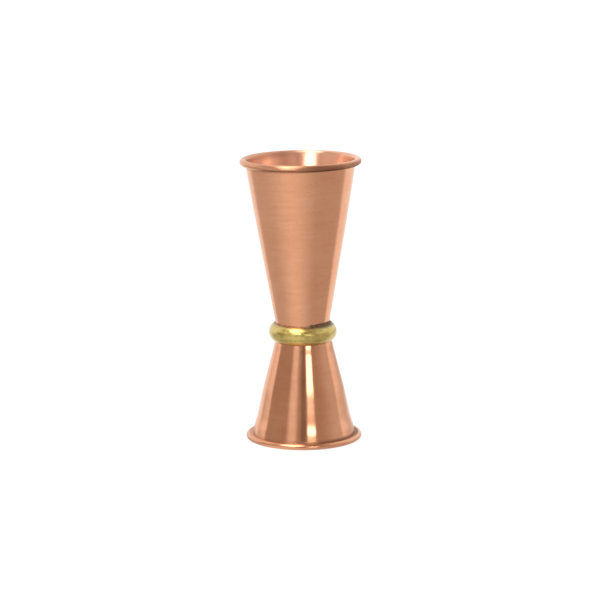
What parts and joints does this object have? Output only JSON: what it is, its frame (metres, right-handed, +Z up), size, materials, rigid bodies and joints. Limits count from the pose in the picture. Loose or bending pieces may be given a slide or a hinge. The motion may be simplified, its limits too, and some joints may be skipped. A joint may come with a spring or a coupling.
{
  "type": "bar jigger",
  "caption": "Double-ended bar jigger: a tall and a short conical cup joined floor to floor, with rolled rims and a half-round ring round the waist.",
  "frame": {"origin": "centre of the small cup's mouth, on the plane that the jigger stands on", "axes": "+Z up along the axis shared by both cups; the jigger is round, so X and Y have no features of their own"},
  "size_m": [0.0502, 0.0502, 0.118],
  "materials": {
    "copper": "satin brushed copper, turned round the axis",
    "brass_ring": "dull polished yellow brass",
    "solder": "dark tarnished solder, matte"
  },
  "bodies": {
    "root": {"large_cup": "copper", "small_cup": "copper", "waist_ring": "brass_ring", "floor_solder": "solder", "large_cup_solder": "solder", "small_cup_solder": "solder"}
  },
  "joints": []
}
